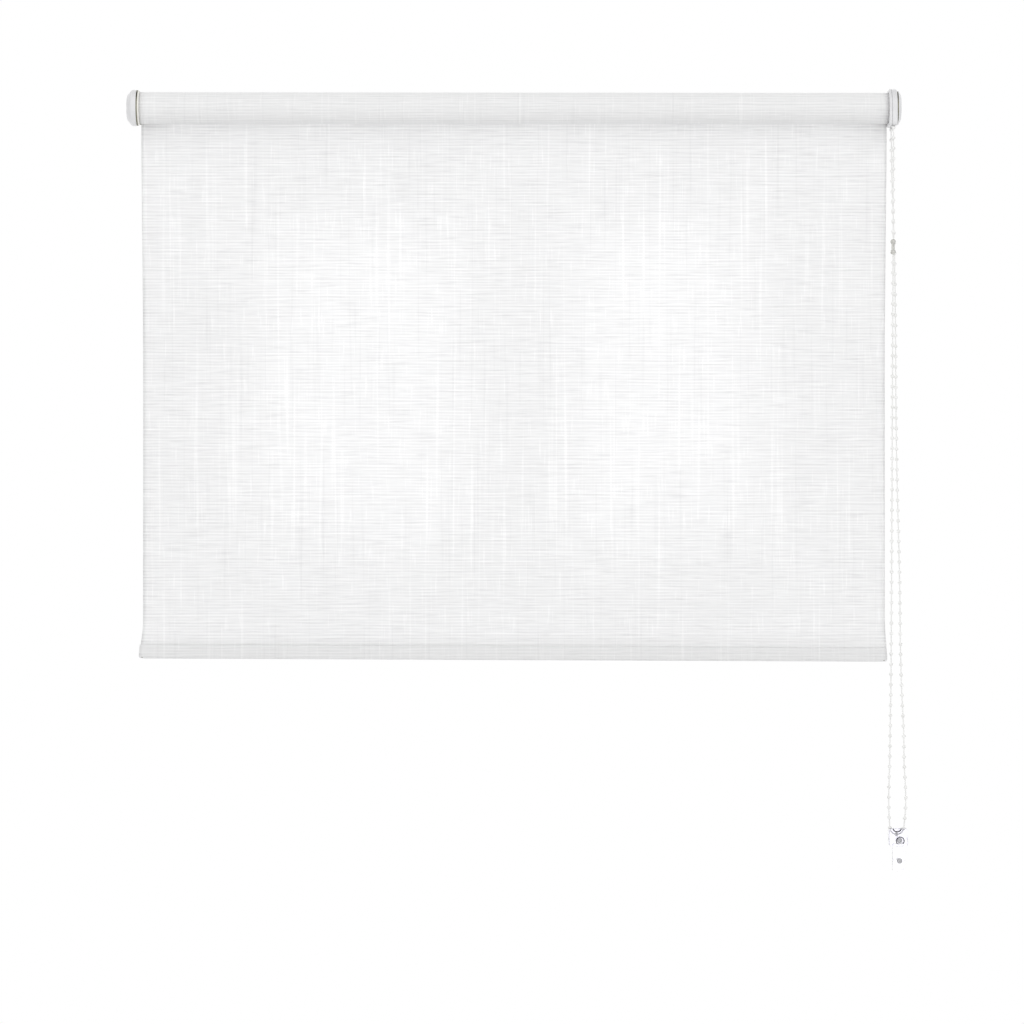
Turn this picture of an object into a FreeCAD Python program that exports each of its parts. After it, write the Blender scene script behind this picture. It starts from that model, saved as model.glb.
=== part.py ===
import FreeCAD, Part
import math
import os

# A wall-mounted roller blind, in millimetres. +Z is up, X runs along the roller with the chain
# at +X, and the room is at -Y. The origin is the middle of the four bracket screws on the wall
# (y = 0), level with the roller's axis. Each node is written to parts/ as its own STEP file.

V = FreeCAD.Vector
os.makedirs("parts", exist_ok=True)

# ---- driving dimensions ------------------------------------------------------------------
OVERALL_WIDTH = 898.0      # outer face of one end cap to outer face of the other
AXIS_TO_WALL = 40.0        # roller axis in front of the wall
CLOTH_DROP = 642.0         # roller axis down to the underside of the hem

ROLL_R = 18.25             # wound cloth, outside
TUBE_R = 14.0              # aluminium tube, outside
TUBE_WALL = 1.0
RIB_W = 1.6                # the tube's inner ribs, which drive the end plugs
RIB_H = 1.0
RIB_COUNT = 3
CLOTH_T = 0.38
TAPE_T = 0.20              # double-sided tape between tube and cloth
TAPE_W = 12.0

PLATE_T = 1.5              # steel of both brackets
FLANGE_LEN = 20.0          # idle bracket's foot on the wall, along X
ARM_HALF = 16.0            # half the height of a bracket's arm and foot
BEND_R = 1.2               # inside radius of the bend between arm and foot
SCREW_INSET = 10.3         # idle plate's inner face to its screws, along X
SCREW_SPACING = 20.0       # the two screws of a bracket, along Z
SCREW_R = 2.0
SCREW_HEAD_R = 3.9
SCREW_HEAD_T = 2.3
SCREW_LEN = 25.0           # length that goes into the wall
SCREW_NECK = 0.2           # the shank is this much slimmer under its head

IDLE_CAP_DEPTH = 11.2
IDLE_CAP_R = 21.0
IDLE_CAP_FACE_R = 14.2     # the cap's flat outer face
IDLE_CAP_SLOPE = 5.6       # length of its sloped shoulder, along X
IDLE_CAP_ROUND = 2.4       # rounding before and after the slope
IDLE_HEAD_R = 20.5         # round head of the idle plate
IDLE_RING_T = 2.0
RING_RECESS = 0.6          # the ring's recess, which takes the roll's end
IDLE_RING_R = 20.0
CAP_WALL = 1.6
PEG_R = 1.5                # snap pegs of the caps
PEG_OFFSET = 12.0
IDLE_END_GAP = 0.4         # recess's floor to cloth, at the ring
CONTROL_END_GAP = 0.4      # recess's floor to cloth, at the chain guard
ROLL_END_GAP = 0.75        # round the roll's end in its recess
SHEET_SLOT = 0.8           # before and behind the cloth where it leaves a recess

CONTROL_CAP_DEPTH = 3.4
CONTROL_CAP_R = 19.6
CONTROL_CAP_RIM = 0.6      # thickness of the cap's edge, before its slope
CONTROL_FACE_R = 15.0      # the cap's flat outer face
CONTROL_HEAD_R = 18.8      # round head of the control plate
GUARD_W = 9.5              # both halves of the chain guard together, along X
GUARD_R = 21.8
GUARD_WALL = 2.8
GUARD_BOTTOM = 21.5        # flat underside, below the axis
GUARD_FLOOR = 2.0
GUARD_CORNER = 5.0
GUARD_ROUND = 1.6
GUARD_SEAM = 0.5           # bevel where the two halves meet
GUARD_SEAM_IN = 3.05       # that seam from the guard's inner face
GUARD_GROOVE = 0.35        # width of the open groove along that seam
GUARD_SIDE = 1.0           # side walls of the guard
GUARD_RECESS = 0.5         # the guard's recess, which takes the roll's end
CHAIN_INSET = 5.1          # chain plane from the guard's inner face

PLUG_FLANGE_T = 1.8
PLUG_LEN = 35.0
PLUG_WALL_END = 2.5        # closed end of the idle plug
BUSH_LEN = 19.0
PIN_R = 3.0
PIN_PROUD = 2.6            # pin's nose past the idle plate
PIN_HEAD_T = 2.0
BUSH_WALL = 1.0
SPRING_WIRE = 0.7
SPRING_TURNS = 6.0

BEAD_R = 2.25
BEAD_PITCH = 12.0
POCKETS = 8
CORD_R = 0.7
WHEEL_FLANGE_T = 0.6
WHEEL_RIM = 0.9            # flanges stand past the beads
SLEEVE_WALL = 1.8
SLEEVE_LEN = 38.0          # chain wheel's sleeve inside the drive hub
SLEEVE_SLOT = 60.0         # degrees of the sleeve cut away for the hub's key
KEY_ANGLE = 40.0
KEY_H = 1.5
CORE_R = 6.0
CORE_FLANGE_R = 8.0
CORE_LEN = 50.0
WRAP_WIRE = 1.1            # wrap springs of the clutch
WRAP_TURNS = 7
WRAP_COUNT = 3
CLUTCH_SCREW_R = 2.0
CLUTCH_SCREW_LEN = 22.0
CLUTCH_HEAD_R = 4.0
CLUTCH_HEAD_T = 1.2

POCKET_H = 16.0            # hem pocket
BAR_H = 13.0
BAR_T = 3.2
BAR_CAP_T = 2.5
BAR_CAP_LEN = 9.0
HEM_OVERHANG = 1.5         # the hem is this much wider than the cloth, at each side
HEM_SHIFT = -1.1           # and is sewn this much off the cloth's middle
HEM_TILT = 0.25            # degrees that it hangs lower at the chain's side
BAR_END = 0.5              # hem's end to the bar's cap

CONNECTOR_BEAD = 11        # the connector holds this bead of the cord and the next one
CONNECTOR_WALL = 0.75
CONNECTOR_NECK_R = 1.9
CONNECTOR_SLIT = 1.6

TENSIONER_DROP = 839.0     # roller axis down to the top of the tensioner
TENSIONER_FROM_CHAIN = 9.6     # tensioner's middle from the chain plane, along X
TENSIONER_HEAD_H = 21.0
TENSIONER_HEAD_HALF = 10.8
TENSIONER_FOOT_H = 29.0
TENSIONER_FOOT_HALF = 7.0
TENSIONER_FOOT_SHIFT = 0.9
TENSIONER_BACK_T = 2.5
TENSIONER_WALL = 1.3
TENSIONER_FOOT_DEPTH = 9.0
TENSIONER_CORNER = 3.0
TENSIONER_SOFT = 0.9       # rounding of the holder's front rims
TENSIONER_CHAIN_Y = 7.5    # chain plane in front of the wall
TENSIONER_COVER_T = 1.5
LOOP_FROM_CHAIN = 8.0      # middle of the chain's lower loop, from the chain plane, along X
LOOP_R = 8.2
LOOP_DROP = 838.0
SMALL_SCREW_R = 1.75
SMALL_HEAD_R = 3.1
SMALL_HEAD_T = 2.0
SMALL_SCREW_LEN = 22.0
SMALL_SCREW_FROM_CHAIN = 11.7
SMALL_SCREW_TOP = 853.7
SMALL_SCREW_SPACING = 24.0

# ---- clearances --------------------------------------------------------------------------
RUN_FIT = 0.08             # a shaft in its bore, radially
TURN_GAP = 0.3             # between surfaces that turn past each other
SNUG = 0.05                # a plug in its tube, a screw in its hole's edge
SCREW_GAP = 0.2
CORD_GAP = 0.2

# ---- places worked out from those --------------------------------------------------------
HALF = OVERALL_WIDTH / 2
AXIS_Y = -AXIS_TO_WALL
IDLE_PLATE_X = -HALF + IDLE_CAP_DEPTH          # outer face of the idle plate
IDLE_RING_X = IDLE_PLATE_X + PLATE_T
IDLE_INNER_X = IDLE_RING_X + IDLE_RING_T
CONTROL_PLATE_X = HALF - CONTROL_CAP_DEPTH     # outer face of the control plate
GUARD_X1 = CONTROL_PLATE_X - PLATE_T
GUARD_X0 = GUARD_X1 - GUARD_W
CHAIN_X = GUARD_X0 + CHAIN_INSET
RING_FLOOR_X = IDLE_INNER_X - RING_RECESS
GUARD_FLOOR_X = GUARD_X0 + GUARD_RECESS
SEAM_X = GUARD_X0 + GUARD_SEAM_IN
CLOTH_X0 = RING_FLOOR_X + IDLE_END_GAP
CLOTH_X1 = GUARD_FLOOR_X - CONTROL_END_GAP
HEM_X0 = CLOTH_X0 - HEM_OVERHANG + HEM_SHIFT
HEM_X1 = CLOTH_X1 + HEM_OVERHANG + HEM_SHIFT
TUBE_X0 = CLOTH_X0 + PLUG_FLANGE_T
TUBE_X1 = CLOTH_X1 - PLUG_FLANGE_T
SCREW_X = -(IDLE_RING_X + SCREW_INSET)         # both brackets' screws, either side of x = 0
TUBE_BORE = TUBE_R - TUBE_WALL
PITCH_R = POCKETS * BEAD_PITCH / (2 * math.pi)
SHEET_Y = AXIS_Y + ROLL_R + TURN_GAP           # cloth's front face, hanging at the back of the roll
HEM_Y = SHEET_Y + CLOTH_T / 2
POCKET_T = BAR_T + 2 * CLOTH_T + 0.4
SLEEVE_IN = CORE_R + WRAP_WIRE + 0.3
SLEEVE_OUT = SLEEVE_IN + SLEEVE_WALL
HUB_BORE = SLEEVE_OUT + RUN_FIT
WHEEL_HALF = BEAD_R + 0.4 + WHEEL_FLANGE_T
WHEEL_R = PITCH_R + BEAD_R + WHEEL_RIM

# Route of the bead chain's cord, from the guard's front mouth down to the tensioner, round its
# saddle and up to the rear mouth: x from the chain plane, y from the wall, z from the axis.
CORD_ROUTE = [
    (0.0, -55.28, -21.5),
    (0.0, -54.6, -40.0),
    (0.6, -17.9, -662.0),
    (-0.2, -15.6, -708.0),
    (-0.5, -13.0, -757.0),
    (-1.6, -11.0, -792.0),
    (-1.5, -9.2, -814.0),
    (-0.6, -8.0, -831.0),
    (-0.2, -7.5, -841.4),
    (4.6, -7.5, -846.2),
    (11.4, -7.5, -846.2),
    (16.2, -7.5, -841.4),
    (17.1, -7.8, -831.0),
    (18.7, -8.3, -813.0),
    (18.2, -8.6, -789.0),
    (16.2, -9.3, -762.0),
    (16.4, -9.8, -732.0),
    (13.9, -10.6, -688.0),
    (11.9, -11.8, -632.0),
    (11.3, -13.1, -572.0),
    (10.1, -14.0, -514.0),
    (8.2, -15.4, -455.0),
    (6.9, -16.6, -396.0),
    (6.0, -17.9, -337.0),
    (5.7, -19.0, -278.0),
    (5.1, -20.3, -219.0),
    (4.0, -21.7, -160.0),
    (1.6, -23.1, -101.0),
    (0.2, -24.4, -52.0),
    (0.0, -24.72, -21.5),
]


# ---- helpers -----------------------------------------------------------------------------
def rod(radius, x0, x1, y=0.0, z=0.0):
    """A cylinder along X, placed from the roller's axis."""
    return Part.makeCylinder(radius, x1 - x0, V(x0, AXIS_Y + y, z), V(1, 0, 0))


def tube(outer, inner, x0, x1):
    return rod(outer, x0, x1).cut(rod(inner, x0 - 1, x1 + 1))


def block(x0, x1, y0, y1, z0, z1):
    return Part.makeBox(x1 - x0, y1 - y0, z1 - z0, V(x0, y0, z0))


def peg(radius, y0, y1, x, z):
    """A cylinder along Y, for the wall screws and their holes."""
    return Part.makeCylinder(radius, y1 - y0, V(x, y0, z), V(0, 1, 0))


def cone(r0, r1, x0, x1):
    """A cone along X, from radius r0 at x0 to r1 at x1."""
    return Part.makeCone(r0, r1, x1 - x0, V(x0, AXIS_Y, 0), V(1, 0, 0))


def rim_at(shape, x):
    """The edges that lie in the plane at x."""
    return [e for e in shape.Edges if abs(e.BoundBox.XMin - x) + abs(e.BoundBox.XMax - x) < 1e-4]


def uprights(shape, direction):
    """The straight edges along a direction."""
    found = []
    for e in shape.Edges:
        if isinstance(e.Curve, Part.Line) and e.tangentAt(0).cross(direction).Length < 1e-6:
            found.append(e)
    return found


def turned_about_axis(shape, degrees):
    copy = shape.copy()
    copy.rotate(V(0, AXIS_Y, 0), V(1, 0, 0), degrees)
    return copy


def join(shapes):
    return shapes[0].multiFuse(shapes[1:]).removeSplitter()


def save(node, shape):
    shape.exportStep("parts/" + node + ".step")
    print("%-20s solids %3d volume %.1f valid %s" % (node, len(shape.Solids), shape.Volume, shape.isValid()))


# ---- brackets, caps and screws -----------------------------------------------------------
def bracket(plate_x, inward, head_r, foot_len, axis_hole_r):
    """An L of sheet steel: a round head at the roller's axis, an arm to the wall and a foot on it.
    plate_x is the plate's outer face and inward is +1 or -1 along X."""
    inner_x = plate_x + inward * PLATE_T
    x0, x1 = sorted((plate_x, inner_x))
    f0, f1 = sorted((plate_x, inner_x + inward * foot_len))
    arm = block(x0, x1, AXIS_Y, 0, -ARM_HALF, ARM_HALF)
    foot = block(f0, f1, -PLATE_T, 0, -ARM_HALF, ARM_HALF)
    steel = join([arm, foot])
    bends = uprights(steel, V(0, 0, 1))
    outside = [e for e in bends if abs(e.Vertexes[0].X - plate_x) + abs(e.Vertexes[0].Y) < 1e-6]
    steel = steel.makeFillet(BEND_R + PLATE_T, outside)
    inside = [e for e in uprights(steel, V(0, 0, 1))
              if abs(e.Vertexes[0].X - inner_x) + abs(e.Vertexes[0].Y + PLATE_T) < 1e-6]
    steel = steel.makeFillet(BEND_R, inside)
    free = [e for e in uprights(steel, V(0, 1, 0))
            if abs(e.Vertexes[0].X - (inner_x + inward * foot_len)) < 1e-6]
    steel = steel.makeFillet(4.0, free)
    steel = join([steel, rod(head_r, x0, x1)])
    cuts = [rod(axis_hole_r, x0 - 1, x1 + 1)]
    for side in (-1, 1):
        cuts.append(rod(PEG_R + SNUG, x0 - 1, x1 + 1, z=side * PEG_OFFSET))
        hole_x = -inward * SCREW_X
        cuts.append(peg(SCREW_R + SCREW_GAP, -PLATE_T - 1, 1, hole_x, side * SCREW_SPACING / 2))
    for cut in cuts:
        steel = steel.cut(cut)
    return steel


def idle_bracket():
    return bracket(IDLE_PLATE_X, 1, IDLE_HEAD_R, FLANGE_LEN, PIN_R + RUN_FIT)


def control_bracket():
    foot_len = FLANGE_LEN + (HALF - CONTROL_CAP_DEPTH) - (HALF - IDLE_CAP_DEPTH)
    return bracket(CONTROL_PLATE_X, -1, CONTROL_HEAD_R, foot_len, CLUTCH_SCREW_R + SCREW_GAP)


def cap_pegs(x0, x1):
    return [rod(PEG_R, x0, x1, z=side * PEG_OFFSET) for side in (-1, 1)]


def button(inset, round_r, end_x):
    """The idle cap's solid shape, or its hollow one wall further in."""
    face_x = -HALF + inset
    slope_x = -HALF + IDLE_CAP_SLOPE + inset * 0.6
    slope = cone(IDLE_CAP_FACE_R - inset * 0.6, IDLE_CAP_R - inset, face_x, slope_x)
    solid = join([slope, rod(IDLE_CAP_R - inset, slope_x, end_x)])
    return solid.makeFillet(round_r, rim_at(solid, face_x) + rim_at(solid, slope_x))


def idle_cap():
    """A deep button with a sloped shoulder, snapped to the idle plate by two pegs."""
    outer = button(0.0, IDLE_CAP_ROUND, IDLE_PLATE_X)
    inner = button(CAP_WALL, IDLE_CAP_ROUND - 1.0, IDLE_PLATE_X + 1)
    shell = outer.cut(inner)
    return join([shell] + cap_pegs(-HALF + CAP_WALL / 2, IDLE_PLATE_X + PLATE_T))


def idle_ring():
    """The ring between the idle plate and the roll, with a recess for the roll's end."""
    ring = rod(IDLE_RING_R, IDLE_RING_X, IDLE_INNER_X)
    ring = ring.makeFillet(0.9, rim_at(ring, IDLE_INNER_X))
    ring = ring.cut(rod(ROLL_R + ROLL_END_GAP, RING_FLOOR_X, IDLE_INNER_X + 1))
    behind = block(RING_FLOOR_X, IDLE_INNER_X + 1, SHEET_Y - SHEET_SLOT, 0, -IDLE_RING_R - 1, 0)
    return ring.cut(behind).cut(rod(PIN_R + TURN_GAP, IDLE_RING_X - 1, IDLE_INNER_X + 1))


def control_cap():
    """A shallow sloped cap over the clutch screw, snapped to the control plate by two pegs."""
    slope_x = CONTROL_PLATE_X + CONTROL_CAP_RIM
    rim = rod(CONTROL_CAP_R, CONTROL_PLATE_X, slope_x)
    cap = join([rim, cone(CONTROL_CAP_R, CONTROL_FACE_R, slope_x, HALF)])
    cap = cap.makeFillet(0.8, rim_at(cap, HALF))
    hollow = rod(CLUTCH_HEAD_R + 1.5, CONTROL_PLATE_X - 1, CONTROL_PLATE_X + CLUTCH_HEAD_T + 0.3)
    return join([cap.cut(hollow)] + cap_pegs(CONTROL_PLATE_X - PLATE_T, CONTROL_PLATE_X + 1))


def wall_screw(radius, head_r, head_t, length, x, face_y, z):
    """A pan-head screw along +Y: its head on face_y and its shank into the wall, past y = 0."""
    neck = peg(radius - SCREW_NECK, face_y, 1, x, z)
    shank = peg(radius, 0, length, x, z)
    head = peg(head_r, face_y - head_t, face_y, x, z)
    top = [e for e in head.Edges if abs(e.BoundBox.YMax - (face_y - head_t)) < 1e-4]
    head = head.makeFillet(head_t * 0.55, top)
    screw = join([shank, neck, head])
    slot = 0.45
    for wide, tall in ((head_r * 0.55, slot), (slot, head_r * 0.55)):
        cross = block(x - wide, x + wide, face_y - head_t - 1, face_y - head_t * 0.4, z - tall, z + tall)
        screw = screw.cut(cross)
    return screw


def bracket_screws():
    screws = []
    for x in (-SCREW_X, SCREW_X):
        for side in (-1, 1):
            z = side * SCREW_SPACING / 2
            screws.append(wall_screw(SCREW_R, SCREW_HEAD_R, SCREW_HEAD_T, SCREW_LEN, x, -PLATE_T, z))
    return Part.makeCompound(screws)


# ---- roller ------------------------------------------------------------------------------
def ribs(width, height):
    """Ribs on the inside of the tube, or their grooves in a plug."""
    found = []
    for i in range(RIB_COUNT):
        y0, y1 = AXIS_Y - width / 2, AXIS_Y + width / 2
        bar = block(TUBE_X0, TUBE_X1, y0, y1, TUBE_BORE - height, TUBE_BORE + 0.3)
        found.append(turned_about_axis(bar, 360.0 * i / RIB_COUNT))
    return found


def roller_tube():
    return join([tube(TUBE_R, TUBE_BORE, TUBE_X0, TUBE_X1)] + ribs(RIB_W, RIB_H))


def fabric_tape():
    """The strip of tape that holds the cloth's first edge on the tube."""
    ring = tube(TUBE_R + TAPE_T, TUBE_R, CLOTH_X0 + 4, CLOTH_X1 - 4)
    half = TAPE_W / 2
    return ring.common(block(CLOTH_X0, CLOTH_X1, AXIS_Y - half, AXIS_Y + half, 0, TUBE_R + 1))


def fabric_roll():
    return tube(ROLL_R, TUBE_R + TAPE_T, CLOTH_X0, CLOTH_X1)


def plug_blank(flange_x, barrel_x0, barrel_x1):
    """A flange at the tube's end and a grooved barrel inside it."""
    near = min((barrel_x0, barrel_x1), key=lambda x: abs(x - flange_x))
    f0, f1 = sorted((flange_x, near))
    flange = rod(TUBE_R, f0, f1)
    barrel = rod(TUBE_BORE - SNUG, barrel_x0, barrel_x1)
    for rib in ribs(RIB_W + 2 * SNUG, RIB_H + SNUG):
        barrel = barrel.cut(rib)
    return join([flange, barrel])


def idle_plug():
    plug = plug_blank(CLOTH_X0, TUBE_X0, TUBE_X0 + PLUG_LEN)
    bore = rod(PIN_R + RUN_FIT + BUSH_WALL + SNUG, CLOTH_X0 - 1, TUBE_X0 + PLUG_LEN - PLUG_WALL_END)
    return plug.cut(bore)


def idle_bush():
    """The plain bearing that turns on the pin, and stops the pin's head."""
    return tube(PIN_R + RUN_FIT + BUSH_WALL, PIN_R + RUN_FIT, CLOTH_X0, CLOTH_X0 + BUSH_LEN)


def idle_pin():
    """A sprung steel pin. Its nose sits in the idle plate and its head behind the bush."""
    nose = IDLE_PLATE_X - PIN_PROUD
    head_x = CLOTH_X0 + BUSH_LEN + 0.1
    pin = rod(PIN_R, nose, head_x + PIN_HEAD_T)
    pin = pin.makeChamfer(0.8, rim_at(pin, nose))
    return join([pin, rod(PIN_R + BUSH_WALL - 0.1, head_x, head_x + PIN_HEAD_T)])


def idle_spring():
    """The compression spring between the pin's head and the closed end of the plug."""
    x0 = CLOTH_X0 + BUSH_LEN + 0.1 + PIN_HEAD_T + SPRING_WIRE / 2 + 0.05
    x1 = TUBE_X0 + PLUG_LEN - PLUG_WALL_END - SPRING_WIRE / 2 - 0.05
    height = x1 - x0
    radius = PIN_R
    helix = Part.makeHelix(height / SPRING_TURNS, height, radius)
    section = Part.Wire([Part.makeCircle(SPRING_WIRE / 2, V(radius, 0, 0), V(0, 1, 0))])
    coil = Part.Wire(helix.Edges).makePipeShell([section], True, True)
    coil.rotate(V(0, 0, 0), V(0, 1, 0), 90)
    coil.translate(V(x0, AXIS_Y, 0))
    return coil


# ---- chain drive -------------------------------------------------------------------------
def sector(outer, inner, x0, x1, degrees):
    """A piece of a tube wall, centred on the top."""
    ring = tube(outer, inner, x0, x1)
    reach = outer * 3
    half = math.radians(degrees / 2)
    corners = [V(x0, AXIS_Y, 0), V(x0, AXIS_Y - reach * math.sin(half), reach * math.cos(half)),
               V(x0, AXIS_Y + reach * math.sin(half), reach * math.cos(half)), V(x0, AXIS_Y, 0)]
    wedge = Part.Face(Part.makePolygon(corners)).extrude(V(x1 - x0, 0, 0))
    return ring.common(wedge)


def drive_hub():
    """The plug that the chain wheel's sleeve turns, through a key in the sleeve's slot."""
    plug = plug_blank(CLOTH_X1, TUBE_X1 - PLUG_LEN, TUBE_X1)
    plug = plug.cut(rod(HUB_BORE, TUBE_X1 - PLUG_LEN - 1, CLOTH_X1 + 1))
    key = sector(HUB_BORE + 0.3, HUB_BORE - KEY_H, TUBE_X1 - PLUG_LEN + 6, TUBE_X1 - 6, KEY_ANGLE)
    return join([plug, key])


def on_pitch_circle(degrees):
    """A bead's place on the wheel, from the rear of the wheel over the top."""
    a = math.radians(degrees)
    return V(CHAIN_X, AXIS_Y + PITCH_R * math.cos(a), PITCH_R * math.sin(a))


def chain_wheel():
    """A grooved wheel with a pocket for each bead, and a slotted sleeve that reaches the hub."""
    x0, x1 = CHAIN_X - WHEEL_HALF, CHAIN_X + WHEEL_HALF
    wheel = rod(WHEEL_R, x0, x1)
    wheel = wheel.makeFillet(0.3, rim_at(wheel, x0) + rim_at(wheel, x1))
    floor_r = PITCH_R - CORD_R - CORD_GAP
    wheel = wheel.cut(tube(WHEEL_R + 1, floor_r, x0 + WHEEL_FLANGE_T, x1 - WHEEL_FLANGE_T))
    for i in range(POCKETS):
        wheel = wheel.cut(Part.makeSphere(BEAD_R + CORD_GAP, on_pitch_circle(360.0 * i / POCKETS)))
    sleeve = tube(SLEEVE_OUT, SLEEVE_IN, x0 - SLEEVE_LEN, x0 + 0.5)
    slot = sector(SLEEVE_OUT + 1, SLEEVE_IN - 1, x0 - SLEEVE_LEN - 1, CLOTH_X1 - 2, SLEEVE_SLOT)
    wheel = wheel.cut(rod(CORE_R + RUN_FIT, x0 - 1, x1 + 1))
    return join([wheel, sleeve.cut(slot)])


def clutch_core():
    """The fixed post that the wheel turns on and the wrap springs grip."""
    post = rod(CORE_R, GUARD_X1 - CORE_LEN, GUARD_X1)
    wall_x = CHAIN_X + WHEEL_HALF + TURN_GAP
    post = join([post, rod(CORE_FLANGE_R, wall_x, GUARD_X1)])
    return post.cut(rod(CLUTCH_SCREW_R + SNUG, GUARD_X1 - CORE_LEN - 1, GUARD_X1 + 1))


def wrap_spring(x0):
    """One close-wound spring, as a sleeve with a round wave for each turn."""
    inner = CORE_R + 0.1
    wire = WRAP_WIRE
    edges = []
    for i in range(WRAP_TURNS):
        a = V(x0 + i * wire, AXIS_Y, inner + wire * 0.75)
        b = V(x0 + (i + 1) * wire, AXIS_Y, inner + wire * 0.75)
        top = V(x0 + (i + 0.5) * wire, AXIS_Y, inner + wire)
        edges.append(Part.Arc(a, top, b).toShape())
    x1 = x0 + WRAP_TURNS * wire
    corners = [edges[-1].Vertexes[1].Point, V(x1, AXIS_Y, inner)]
    corners += [V(x0, AXIS_Y, inner), edges[0].Vertexes[0].Point]
    for a, b in zip(corners, corners[1:]):
        edges.append(Part.makeLine(a, b))
    outline = Part.Face(Part.Wire(Part.__sortEdges__(edges)))
    return outline.revolve(V(0, AXIS_Y, 0), V(1, 0, 0), 360)


def clutch_springs():
    length = WRAP_TURNS * WRAP_WIRE
    first = CHAIN_X - WHEEL_HALF - SLEEVE_LEN + 3
    return Part.makeCompound([wrap_spring(first + i * (length + 1.5)) for i in range(WRAP_COUNT)])


def clutch_screw():
    x1 = CONTROL_PLATE_X
    screw = join([rod(CLUTCH_SCREW_R, x1 - CLUTCH_SCREW_LEN, x1), rod(CLUTCH_HEAD_R, x1, x1 + CLUTCH_HEAD_T)])
    return screw.cut(block(x1 + 0.5, x1 + 3, AXIS_Y - 2.6, AXIS_Y + 2.6, -0.5, 0.5))


def u_prism(radius, bottom, corner, x0, x1):
    """A prism along X, round over the axis and square below it, with rounded lower corners."""
    c45 = corner * (1 - math.sqrt(0.5))

    def at(y, z):
        return V(x0, AXIS_Y + y, z)

    edges = [
        Part.Arc(at(radius, 0), at(0, radius), at(-radius, 0)).toShape(),
        Part.makeLine(at(-radius, 0), at(-radius, corner - bottom)),
        Part.Arc(at(-radius, corner - bottom), at(c45 - radius, c45 - bottom),
                 at(corner - radius, -bottom)).toShape(),
        Part.makeLine(at(corner - radius, -bottom), at(radius - corner, -bottom)),
        Part.Arc(at(radius - corner, -bottom), at(radius - c45, c45 - bottom),
                 at(radius, corner - bottom)).toShape(),
        Part.makeLine(at(radius, corner - bottom), at(radius, 0)),
    ]
    return Part.Face(Part.Wire(edges)).extrude(V(x1 - x0, 0, 0))


def guard_half(x0, x1, outer_x, seam_x):
    """Half of the chain guard, between x0 and x1, rounded at outer_x and bevelled at the seam."""
    half = u_prism(GUARD_R, GUARD_BOTTOM, GUARD_CORNER, x0, x1)
    half = half.makeFillet(GUARD_ROUND, rim_at(half, outer_x))
    half = half.makeChamfer(GUARD_SEAM, rim_at(half, seam_x))
    wheel_x0 = GUARD_FLOOR_X + GUARD_SIDE
    wheel_x1 = CHAIN_X + WHEEL_HALF + TURN_GAP
    inner_corner = GUARD_CORNER - GUARD_WALL
    room = u_prism(GUARD_R - GUARD_WALL, GUARD_BOTTOM - GUARD_FLOOR, inner_corner, wheel_x0, wheel_x1)
    half = half.cut(room)
    mouth = BEAD_R + 0.9
    for side in (-1, 1):
        y = AXIS_Y + side * PITCH_R
        z0, z1 = -GUARD_BOTTOM - 1, -GUARD_BOTTOM + GUARD_FLOOR + 1
        half = half.cut(block(CHAIN_X - mouth, CHAIN_X + mouth, y - mouth, y + mouth, z0, z1))
    return half


def guard_inner():
    """The half beside the roll: the roll's end and the cloth run in its recess."""
    half = guard_half(GUARD_X0, SEAM_X, GUARD_X0, SEAM_X)
    half = half.cut(rod(ROLL_R + ROLL_END_GAP, GUARD_X0 - 1, GUARD_FLOOR_X))
    y0, y1 = SHEET_Y - SHEET_SLOT, SHEET_Y + CLOTH_T + SHEET_SLOT
    half = half.cut(block(GUARD_X0 - 1, GUARD_FLOOR_X, y0, y1, -GUARD_BOTTOM - 1, 0))
    return half.cut(rod(SLEEVE_OUT + TURN_GAP, GUARD_X0 - 1, GUARD_FLOOR_X + GUARD_SIDE + 1))


def guard_outer():
    half = guard_half(SEAM_X, GUARD_X1, GUARD_X1, SEAM_X)
    around = u_prism(GUARD_R + 1, GUARD_BOTTOM + 1, GUARD_CORNER, SEAM_X, SEAM_X + GUARD_GROOVE)
    core = u_prism(GUARD_R - 1.1, GUARD_BOTTOM - 1.1, GUARD_CORNER - 1, SEAM_X, SEAM_X + GUARD_GROOVE)
    half = half.cut(around.cut(core))
    half = half.cut(rod(CORE_FLANGE_R + SNUG, CHAIN_X - 1, GUARD_X1 + 1))
    for side in (-1, 1):
        half = half.cut(rod(PEG_R + SNUG, GUARD_X1 - 0.5, GUARD_X1 + 1, z=side * PEG_OFFSET))
    return half


# ---- bead chain --------------------------------------------------------------------------
def cord_points():
    return [V(CHAIN_X + x, y, z) for x, y, z in CORD_ROUTE]


def cord_path():
    """Straight runs joined by tangent arcs, each as large as its two runs allow."""
    points = cord_points()
    edges = []
    radii = []
    here = points[0]
    for before, corner, after in zip(points, points[1:], points[2:]):
        back = (before - corner).normalize()
        ahead = (after - corner).normalize()
        reach = 0.45 * min((before - corner).Length, (after - corner).Length)
        half_turn = (math.pi - back.getAngle(ahead)) / 2
        radius = reach / math.tan(half_turn)
        inward = (back + ahead).normalize()
        start = corner + back * reach
        end = corner + ahead * reach
        middle = corner + inward * (radius / math.cos(half_turn) - radius)
        edges.append(Part.LineSegment(here, start).toShape())
        edges.append(Part.Arc(start, middle, end).toShape())
        radii.append(radius)
        here = end
    edges.append(Part.LineSegment(here, points[-1]).toShape())
    print("cord bend radii, mm:", " ".join("%.0f" % r for r in radii))
    return Part.Wire(edges)


def swept(path, radius):
    first = path.Edges[0]
    start = first.FirstParameter
    section = Part.Wire([Part.makeCircle(radius, first.valueAt(start), first.tangentAt(start))])
    return path.makePipeShell([section], True, False)


def along(path, distance):
    """The point that far along a path."""
    for edge in path.Edges:
        if distance <= edge.Length:
            return edge.valueAt(edge.getParameterByLength(distance))
        distance -= edge.Length
    return path.Edges[-1].valueAt(path.Edges[-1].LastParameter)


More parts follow.
